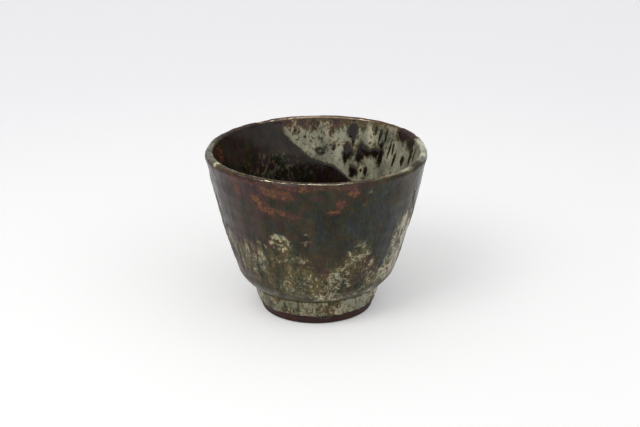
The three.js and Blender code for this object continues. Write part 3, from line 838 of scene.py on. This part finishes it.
# %% Glaze material
def fired_glaze(name):
    """A glaze whose colour follows the iron, rust, hue and veins painted on the mesh."""
    material, tree, shader = new_material(name)
    iron, rust, hue, veins = (
        add_node(tree, "Attribute", out="Fac", attribute_name=field) for field in PAINTED)

    # Wandering coordinates make every finer pattern flow as a melt does.
    place = add_node(tree, "TexCoord", out="Object")
    swirl = add_node(tree, "TexNoise", {
        "Vector": place, "Scale": 1 / (WARP_SIZE * MM), "Detail": 2.0}, "Color")
    stir = add_node(tree, "VectorMath", [swirl, (0.5, 0.5, 0.5)], operation="SUBTRACT")
    melted = add_node(
        tree, "VectorMath", [stir, (2 * WARP_REACH * MM,) * 3, place], operation="MULTIPLY_ADD")
    hanging, hair = (
        add_node(tree, "Mapping", {"Vector": where, "Scale": (1.0, 1.0, drawn_out)})
        for where, drawn_out in ((melted, 0.4), (place, 0.1)))
    grain, folds, tint, strand, cloud, speck, fleck, peel = (
        add_node(tree, "TexNoise", {
            "Vector": where, "Scale": 1 / (size * MM), "Detail": detail, "Roughness": roughness}, "Fac")
        for where, size, detail, roughness in (
            (hanging, GRAIN_SIZE, 3.0, 0.6), (melted, CURL_SIZE, 2.5, 0.6), (melted, TINT_SIZE, 4.0, 0.5),
            (hair, HAIR_SIZE, 2.0, 0.5), (hanging, CLOUD_SIZE, 4.0, 0.5), (melted, SPECK_SIZE, 1.0, 0.5),
            (melted, FLECK_SIZE, 4.0, 0.65), (hanging, PEEL_SIZE, 2.0, 0.5)))

    # Grain breaks up the iron, most where the glazes mix. Cream curls run through where there are veins.
    grain_step = add_node(tree, "Math", [grain, 1.5, -0.75], operation="MULTIPLY_ADD")
    some_iron = add_node(tree, "MapRange", [iron, 0.25, 0.55, 0.2, 1.0])
    mixing = add_node(tree, "MapRange", [iron, 0.7, 1.0, some_iron, 0.3])
    off_line = add_node(tree, "Math", [folds, 0.5], operation="SUBTRACT")
    off_line = add_node(tree, "Math", [off_line], operation="ABSOLUTE")
    curls = add_node(tree, "MapRange", [off_line, 0.015, 0.07, -0.34, 0.12], interpolation_type="SMOOTHSTEP")
    grained = add_node(tree, "Math", [grain_step, mixing, iron], operation="MULTIPLY_ADD")
    amount = add_node(tree, "Math", [curls, veins, grained], operation="MULTIPLY_ADD")

    # Three body colours, each from warm to cool.
    tint_step = add_node(tree, "Math", [tint, 2.4, -1.2], operation="MULTIPLY_ADD")
    tinted = add_node(tree, "Math", [hue, tint_step])
    faintly_tinted = add_node(tree, "Math", [tint_step, 0.4, hue], operation="MULTIPLY_ADD")
    pale, middle, dark = (
        add_node(tree, "ValToRGB", [warmth], stops=stops)
        for warmth, stops in ((faintly_tinted, PALE_HUES), (tinted, MIDDLE_HUES), (tinted, DARK_HUES)))
    to_middle, to_dark = (
        add_node(tree, "MapRange", [amount, low, high], interpolation_type="SMOOTHSTEP")
        for low, high in ((0.1, 0.5), (0.5, 0.9)))
    colour = pale
    for share, over in ((to_middle, middle), (to_dark, dark)):
        colour = add_node(tree, "Mix", {
            MIX_SHARE: share, MIX_BELOW: colour, MIX_ABOVE: over}, MIX_OUT, data_type="RGBA")

    # Hair-thin streaks run down the wall. Real ones are finer, and are drawn coarser so that they show.
    # Thick glaze is deeper in colour. Glaze with iron below nought is lifted lighter: worn chips are frosted,
    # and the right-hand lip is also given a painted highlight this way.
    strand_step = add_node(tree, "MapRange", [strand, 0.3, 0.7, -0.5, 0.5])
    where_cool = add_node(tree, "MapRange", [hue, 0.5, 0.85, 0.5, 1.2])
    in_dark = add_node(tree, "MapRange", [to_dark, 0.0, 1.0, 0.15, where_cool])
    depth = add_node(tree, "MapRange", [cloud, 0.3, 0.7, 0.5, 1.6])
    shading = add_node(tree, "Math", [strand_step, in_dark, depth], operation="MULTIPLY_ADD")
    thick = add_node(tree, "MapRange", [iron, 0.95, 1.35, 1.0, 0.35])
    frost_and_painted_highlight = add_node(tree, "MapRange", [iron, -0.4, 0.0, 1.9, 1.0])
    for share in (thick, frost_and_painted_highlight):
        shading = add_node(tree, "Math", [shading, share], operation="MULTIPLY")
    colour = add_node(tree, "VectorMath", {0: colour, "Scale": shading}, operation="SCALE")

    # Brown specks show on the pale glaze only. Rust comes up in soft blotches with a red-brown halo.
    speck_share = add_node(tree, "MapRange", [speck, 0.63, 0.7, 0.0, 0.8])
    on_pale = add_node(tree, "MapRange", [iron, 0.65, 0.35])
    speckled = add_node(tree, "Math", [speck_share, on_pale], operation="MULTIPLY")
    broken = add_node(tree, "Math", [fleck, 4.4, -1.2], operation="MULTIPLY_ADD")
    rust_amount = add_node(tree, "Math", [rust, broken], operation="MULTIPLY")
    rust_share = add_node(tree, "MapRange", [rust_amount, 0.1, 0.75], interpolation_type="SMOOTHSTEP")
    rust_colour = add_node(tree, "ValToRGB", [rust_amount], stops=RUST_BREAK)
    for share, over in ((speckled, linear(SPECK_BROWN)), (rust_share, rust_colour)):
        colour = add_node(tree, "Mix", {
            MIX_SHARE: share, MIX_BELOW: colour, MIX_ABOVE: over}, MIX_OUT, data_type="RGBA")

    # The face has a faint orange peel. Rust and mixing dull it, and the lip is drawn thin and glossy.
    skin = add_node(tree, "Math", [peel, strand])
    bump = add_node(tree, "Bump", {"Height": skin, "Strength": 0.5, "Distance": PEEL_DEPTH * MM})
    roughness = add_node(tree, "MapRange", [cloud, 0.3, 0.7, 0.3, 0.12])
    height = add_node(tree, "SeparateXYZ", [place], "Z")
    drawn_thin = add_node(tree, "MapRange", [height, GLOSSY_LIP * MM, BOWL_HEIGHT * MM, 1.0, 0.2])
    for duller, most in ((rust_share, 0.18), (mixing, 0.22)):
        roughness = add_node(tree, "Math", [duller, most, roughness], operation="MULTIPLY_ADD")
    for smoother in (drawn_thin, thick):
        roughness = add_node(tree, "Math", [roughness, smoother], operation="MULTIPLY")
    plug(tree, shader, {
        "Base Color": colour, "Roughness": roughness, "Normal": bump,
        "IOR": GLASS_IOR, "Specular IOR Level": 0.2})
    return material


ash_glaze = fired_glaze("ash glaze, poured and fired")
iron_glaze = fired_glaze("iron glaze, poured and fired")
print("glazes:", ash_glaze.name, "and", iron_glaze.name)

# %% [markdown]
# The pale coat on the outside rolls over at the foot joint, as melted glaze does when it stops at an
# edge. The dark coat lies on it. Its thickness follows the iron field, and where there is little
# iron it sinks just below the pale coat, so that the ragged edge of every run is a real edge.

# %% Outer coats
ROW_STEP = 0.52
ASH_ROLL = 0.35
IRON_RISE = 0.3
IRON_SINK = 0.09
INSIDE_LAP = 4.0
FINE_TOP = 62.0
IRON_LOW = 24.0
COARSE_STEP = 2.5
HIDDEN_STEP = 5.0


def spaced(start, end, step):
    return np.linspace(start, end, max(2, int(round((end - start) / step)) + 1))


def finish_piece(piece, node, material):
    """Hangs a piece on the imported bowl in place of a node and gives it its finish."""
    piece.data.materials.append(material)
    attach(piece, "root")
    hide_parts(node)


fine_top = outside_reach(FINE_TOP)
ash_grid = Grid(np.concatenate([
    spaced(0, ASH_ROLL, 0.12)[:-1], spaced(ASH_ROLL, fine_top, ROW_STEP),
    spaced(fine_top, CREST, COARSE_STEP)[1:]]))
ash_fields = outside_fields(ash_grid)
roll = 1 - np.sqrt(1 - (1 - np.clip(ash_grid.reach / ASH_ROLL, 0, 1)) ** 2)
ash_lift = ash_fields.pop("relief") * smooth(0, 3, ash_grid.reach) - 0.45 * roll
ash_back = Grid(spaced(0, CREST, 6.0)[::-1])
ash_outside = turned_piece(
    "ash_coat_outside", ash_grid.lifted(ash_lift), ash_back.lifted(-ASH_BUILD), ash_fields)
finish_piece(ash_outside, "ash_glaze_outside", ash_glaze)

iron_start = outside_reach(IRON_LOW)
iron_grid = Grid(np.concatenate([
    spaced(iron_start, CREST - 3, ROW_STEP), spaced(CREST - 3, CREST + INSIDE_LAP, 0.3)[1:]]))
iron_fields = outside_fields(iron_grid)
lap_end = smooth(INSIDE_LAP, INSIDE_LAP - 2.5, iron_grid.reach - CREST)
lap_start = smooth(iron_start, iron_start + 3, iron_grid.reach)
build = smooth(0.5, 0.95, iron_fields["iron"]) + 0.6 * np.exp(-((iron_grid.reach - CREST) / 2.4) ** 2)
build = np.clip(build, 0, 1) * lap_start * lap_end
iron_lift = iron_fields.pop("relief") + (IRON_RISE + IRON_SINK) * build - IRON_SINK
iron_back = Grid(spaced(iron_start, CREST + INSIDE_LAP, HIDDEN_STEP)[::-1])
iron_outside = turned_piece(
    "iron_coat_outside", iron_grid.lifted(iron_lift), iron_back.lifted(-IRON_BUILD), iron_fields)
finish_piece(iron_outside, "iron_glaze_outside", iron_glaze)

# %% [markdown]
# The inner coats are built the same way. The dark coat is as thick as its depth below the pour line
# allows, and each drip is a low island of its own. Elsewhere it sinks below the pale coat.

# %% Inner coats
INNER_STEP = 0.62
INNER_COLUMNS = 540
INNER_FINE_LOW = 40.0
POUR_RISE = 0.12
DRIP_RISE = 0.1
INNER_SINK = 0.1


def painted(fields):
    """The part of a grid's fields that the glaze material reads."""
    return {name: fields[name] for name in PAINTED}


inner_low = inside_reach(INNER_FINE_LOW)
inner_seen = Grid(np.concatenate([
    spaced(CREST, CREST + 5, 0.35), spaced(CREST + 5, inner_low, INNER_STEP)[1:],
    spaced(inner_low, PATH_END, 2.2)[1:]]), INNER_COLUMNS)
found = lip_colours(inner_seen, inside_fields(inner_seen))
inner_back = Grid(spaced(CREST, PATH_END, HIDDEN_STEP)[::-1], INNER_COLUMNS)
ash_inside = turned_piece(
    "ash_coat_inside", inner_seen.lifted(found["relief"] - 0.02), inner_back.lifted(-0.55),
    painted(found), open_bands=[len(inner_seen.reach) - 1])
finish_piece(ash_inside, "ash_glaze_inside", ash_glaze)

pour_start = CREST + 0.8
pour_grid = Grid(np.concatenate([
    spaced(pour_start, pour_start + 4, 0.35), spaced(pour_start + 4, PATH_END, 0.66)[1:]]), INNER_COLUMNS)
found = lip_colours(pour_grid, inside_fields(pour_grid))
pour_build = np.clip(found["level"] * 0.8, -INNER_SINK, POUR_RISE)
pour_build = np.maximum(pour_build, np.clip(found["drip"] * 0.4, -INNER_SINK, DRIP_RISE))
from_lip = 0.3 * (pour_grid.reach - pour_start) - INNER_SINK
pour_build = np.minimum(pour_build, np.maximum(from_lip, -INNER_SINK))
pour_back = Grid(spaced(pour_start, PATH_END, HIDDEN_STEP)[::-1], INNER_COLUMNS)
iron_inside = turned_piece(
    "iron_coat_inside", pour_grid.lifted(found["relief"] + pour_build), pour_back.lifted(-0.4),
    painted(found), open_bands=[len(pour_grid.reach) - 1])
finish_piece(iron_inside, "iron_glaze_inside", iron_glaze)

# %% [markdown]
# Under the glaze is dark red-brown stoneware. It shows on the lower foot, which was wiped clean so
# that the bowl would not stick to the kiln shelf, and under the bowl inside the ring. A turning
# tool left fine lines round it. Fired stoneware is dense and only a little rough.

# %% Stoneware material
CLAY_SPECK_SIZE = 0.8
CLAY_CLOUD_SIZE = 6.0
SAND_DEPTH = 0.05
CLAY_IOR = 1.5


def fired_clay(name, dark, mid, light, rough):
    """Bare fired clay, clouded by the flame and speckled with sand."""
    material, tree, shader = new_material(name)
    place = add_node(tree, "TexCoord", out="Object")
    cloud = add_node(tree, "TexNoise", {
        "Vector": place, "Scale": 1 / (CLAY_CLOUD_SIZE * MM), "Detail": 5.0, "Roughness": 0.65}, "Fac")
    body = add_node(tree, "ValToRGB", [cloud], stops=[(0.30, dark), (0.70, light), (0.50, mid)])
    sand = add_node(tree, "TexVoronoi", {
        "Vector": place, "Scale": 1 / (CLAY_SPECK_SIZE * MM)}, "Distance")
    speck = add_node(tree, "MapRange", [sand, 0.12, 0.22, 0.5, 0.0])
    colour = add_node(tree, "Mix", {
        MIX_SHARE: speck, MIX_BELOW: body, MIX_ABOVE: linear(dark)}, MIX_OUT, data_type="RGBA")
    bump = add_node(tree, "Bump", {"Height": sand, "Strength": 0.35, "Distance": SAND_DEPTH * MM})
    dull = add_node(tree, "MapRange", [cloud, 0.3, 0.7, rough - 0.1, rough + 0.1])
    plug(tree, shader, {
        "Base Color": colour, "Roughness": dull, "Normal": bump,
        "IOR": CLAY_IOR, "Specular IOR Level": 0.2})
    return material


foot_clay = fired_clay("stoneware foot, turned and fired bare", "#120a0a", "#29140e", "#432116", 0.6)
bowl_clay = fired_clay("stoneware bowl, thrown and fired", "#3a241b", "#50332a", "#6a4632", 0.65)
slip_clay = fired_clay("luting slip, brushed and fired", "#2c1c15", "#3c281e", "#4a3327", 0.75)
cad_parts["luting_slip"].material_slots[0].material = slip_clay
print("clays:", foot_clay.name, bowl_clay.name, slip_clay.name)

# %% [markdown]
# The foot ring is its own turned piece, joined on with slip. Its outside swells to the joint, its
# standing edge is rounded by wear and its well leans inwards. The pale collar of glaze round it stops
# in a wavy line with a thick rolled edge, a few millimetres above the table.

# %% Foot ring
FOOT_HEIGHT = 13.5
FOOT_BASE_RADIUS = 28.2
FOOT_TOP_RADIUS = 31.2
FOOT_BELLY_HEIGHT = 6.5
FOOT_RIM_WIDTH = 6.0
FOOT_EDGE_RADIUS = 0.9
WORN_EDGE_RADIUS = 2.0
WELL_DRAFT = 1.5
WELL_DOME = 2.5
WELL_DOME_MARGIN = 2.0
SLIP_THICKNESS = 0.6
BARE_FOOT_BAND = 5.0
FOOT_COLUMNS = 420
EDGE_POINTS = 12
TURNING_PITCH = 0.9
RING_TOP = FOOT_HEIGHT - SLIP_THICKNESS
SEAT_RADIUS = FOOT_TOP_RADIUS - ASH_BUILD
WELL_RADIUS = FOOT_BASE_RADIUS - FOOT_RIM_WIDTH
WELL_TOP_RADIUS = WELL_RADIUS - WELL_DRAFT

foot_side = bezier([
    (FOOT_BASE_RADIUS + ASH_BUILD, 0), (FOOT_TOP_RADIUS, FOOT_BELLY_HEIGHT), (FOOT_TOP_RADIUS, FOOT_HEIGHT)])
side_slope = np.gradient(foot_side, axis=0)
side_slope /= np.hypot(*side_slope.T)[:, None]
side_out = np.stack([side_slope[:, 1], -side_slope[:, 0]], axis=1)


def foot_at(height, lift):
    """Radius and height of the foot's side, moved outwards by a lift."""
    radius = np.interp(height, foot_side[:, 1], foot_side[:, 0])
    out = [np.interp(height, foot_side[:, 1], side_out[:, i]) for i in (0, 1)]
    return radius + out[0] * lift, height + out[1] * lift


def evenly(points, step):
    """Points along a broken line, an even step apart."""
    length = np.concatenate([[0], np.cumsum(np.hypot(*np.diff(points, axis=0).T))])
    at = spaced(0, length[-1], step)
    return np.stack([np.interp(at, length, points[:, i]) for i in (0, 1)], axis=1)


def turned_rows(points, columns):
    """A section turned round the axis, with no bend: the foot is true."""
    azimuth = np.arange(columns)[None, :] * 360 / columns
    radius, height = points[:, :1] + 0 * azimuth, points[:, 1:] + 0 * azimuth
    return hand_thrown(radius, height, azimuth)


low_edge = arc(
    (FOOT_BASE_RADIUS - WORN_EDGE_RADIUS, WORN_EDGE_RADIUS), WORN_EDGE_RADIUS, -math.pi / 2, 0, EDGE_POINTS)
well_edge = arc(
    (WELL_RADIUS + FOOT_EDGE_RADIUS, FOOT_EDGE_RADIUS), FOOT_EDGE_RADIUS, math.pi, 1.5 * math.pi, EDGE_POINTS)
bare_side = np.stack(foot_at(np.linspace(BARE_FOOT_BAND, RING_TOP - 0.1, 40), -ASH_BUILD), axis=1)
ring_outside = evenly(np.vstack([low_edge, bare_side, [(SEAT_RADIUS, RING_TOP)]]), 0.28)
ring_inside = evenly(np.vstack([[(WELL_TOP_RADIUS, RING_TOP)], well_edge]), 0.4)
ring_rows = turned_rows(np.vstack([ring_outside, ring_inside]), FOOT_COLUMNS)
lines = np.sin(2 * np.pi * ring_rows[..., 2] / TURNING_PITCH + 3 * noise(ring_rows, 14.0, 201))
wear = smooth(0.6, 1.6, ring_rows[..., 2]) * smooth(RING_TOP, RING_TOP - 1, ring_rows[..., 2])
groove = (0.05 * lines + 0.12 * blotches(ring_rows, 4.0, 202)) * wear
radius = np.hypot(ring_rows[..., 0], ring_rows[..., 1])
facing = np.where(np.arange(len(ring_rows))[:, None] < len(ring_outside), 1.0, -1.0)
ring_rows[..., :2] *= ((radius + facing * (groove - 0.1 * wear)) / radius)[..., None]
foot_ring = turned_piece("foot_ring_clay", ring_rows, ring_rows[:0])
finish_piece(foot_ring, "foot_ring", foot_clay)

# %% Glaze collar on the foot
COLLAR_TOP = 13.3
COLLAR_RADIUS = 30.0
COLLAR_BUILD = 0.5
COLLAR_ROWS = 34
FOOT_STAINS = [
    (10, 9.5, 3.6, 3.2), (20, 10.5, 2.0, 1.6), (-40, 12, 2.6, 0.9), (-18, 8, 1.2, 1.0),
    (62, 8.5, 2.2, 2.8), (150, 9, 4.0, 2.5), (205, 8, 3.0, 3.0), (268, 10, 4.0, 2.0),
]
FOOT_SMOKE = [(7, 4.4, 3.8, 1.6), (170, 8, 4.0, 1.4)]
azimuth = (np.arange(COLUMNS)[None, :] * 360 / COLUMNS + 180) % 360 - 180
turned = np.radians(azimuth)
around = np.stack([COLLAR_RADIUS * np.sin(turned), -COLLAR_RADIUS * np.cos(turned), 0 * turned], axis=-1)
# Each pair is azimuth and how far the collar's low edge is raised.
COLLAR_EDGE = [
    (-180, 0.6), (-120, 1.8), (-85, 4.2), (-65, 1.4), (-45, -0.7), (-20, -0.3), (-4, 0.2), (3, -1.6),
    (10, -1.7), (15, 0.2), (30, 0.2), (45, -0.3), (62, 1.2), (80, 4.0), (130, 1.4),
]
collar_low = BARE_FOOT_BAND + 0.25 + round_the_bowl(azimuth, COLLAR_EDGE)
collar_low = collar_low + 0.6 * blotches(around, 9.0, 211) + 0.45 * blotches(around, 3.0, 212)
collar_high = COLLAR_TOP - 0.5 * smooth(0.1, 0.8, blotches(around, 5.0, 217))
rise = np.linspace(0, 1, COLLAR_ROWS)[:, None] ** 1.1
collar_height = collar_low + rise * (collar_high - collar_low)
from_edge = np.minimum(collar_height - collar_low, collar_high - collar_height)
rounded = np.sqrt(1 - (1 - np.clip(from_edge / 0.45, 0, 1)) ** 2)
bead = 0.16 * np.exp(-((collar_height - collar_low - 0.7) / 0.7) ** 2)
skin = around + np.stack([0 * collar_height, 0 * collar_height, collar_height], axis=-1)
swell = 0.07 * blotches(skin, 4.0, 213)
collar_radius, collar_z = foot_at(collar_height, (COLLAR_BUILD + bead + swell) * rounded - ASH_BUILD - 0.02)
collar_seen = hand_thrown(collar_radius, collar_z, azimuth)
back_height = collar_low + np.linspace(1, 0, 4)[:, None] * (collar_high - collar_low)
back_radius, back_z = foot_at(back_height, -ASH_BUILD - 0.35)
collar_hidden = hand_thrown(back_radius, back_z, azimuth)

# The few things that marks() and soft_tones() ask of a grid, for the collar.
foot_grid = SimpleNamespace(points=skin, height=collar_height, radius=COLLAR_RADIUS, azimuth=azimuth)
ragged = 0.6 * blotches(skin, 2.0, 214, 2)
stain = smooth(-0.4, 0.6, marks(foot_grid, FOOT_STAINS, ragged))
smoke = smooth(-0.3, 0.4, marks(foot_grid, FOOT_SMOKE, ragged))
speck = smooth(0.35, 0.8, blotches(skin, 1.5, 215, 2))
# Painted shade: the collar is darkened in a thin band along its top, where the bowl overhangs the joint.
painted_joint_shade = np.exp(-((collar_high - collar_height) / 0.5) ** 2)
clouds = blotches(skin, 4.5, 216)
collar_edge = np.exp(-((collar_height - collar_low) / 0.7) ** 2)
collar_iron = 0.3 + 0.11 * clouds + 0.22 * speck + 0.25 * stain + 0.6 * smoke + 0.25 * painted_joint_shade
collar_iron = collar_iron + soft_tones(foot_grid, [(-16, 9, 20, 8, 0.05), (42, 9, 14, 8, -0.05)])
collar = turned_piece("ash_coat_foot", collar_seen, collar_hidden, {
    "iron": collar_iron, "rust": 0.5 * collar_edge, "veins": 0.15 + 0 * collar_iron,
    "hue": 0.68 - 0.3 * stain - 0.3 * speck + 0.2 * smoke})
finish_piece(collar, "ash_glaze_foot", ash_glaze)

# %% [markdown]
# The clay bowl itself shows only from below, where its floor closes the well of the foot. The turning
# tool left a low point in the middle, with a spiral round it.

# %% Clay bowl
dome_radius = WELL_TOP_RADIUS - WELL_DOME_MARGIN
dome_top = FOOT_HEIGHT - WELL_DOME
dome = bezier([(0, dome_top), (dome_radius / 2, dome_top), (dome_radius, FOOT_HEIGHT)])
well_floor = evenly(np.vstack([dome, [(WELL_TOP_RADIUS + 0.8, FOOT_HEIGHT)]]), 0.4)
core = Grid(np.concatenate([
    spaced(0, CREST, COARSE_STEP), spaced(CREST, PATH_END, COARSE_STEP)[1:]]), FOOT_COLUMNS)
core_rows = core.lifted(-ASH_BUILD)
floor_rows = turned_rows(well_floor, FOOT_COLUMNS)
out = np.hypot(floor_rows[..., 0], floor_rows[..., 1])
azimuth = np.arange(FOOT_COLUMNS)[None, :] / FOOT_COLUMNS
spiral = np.sin(2 * np.pi * (out / 1.8 + azimuth)) * smooth(0.5, 3, out) * smooth(19, 16, out)
floor_rows[..., 2] += 0.09 * spiral
clay = turned_piece(
    "bowl_clay", np.concatenate([floor_rows, core_rows]), core_rows[:0],
    open_bands=[len(floor_rows) + len(core_rows) - 1])
finish_piece(clay, "clay_bowl", bowl_clay)
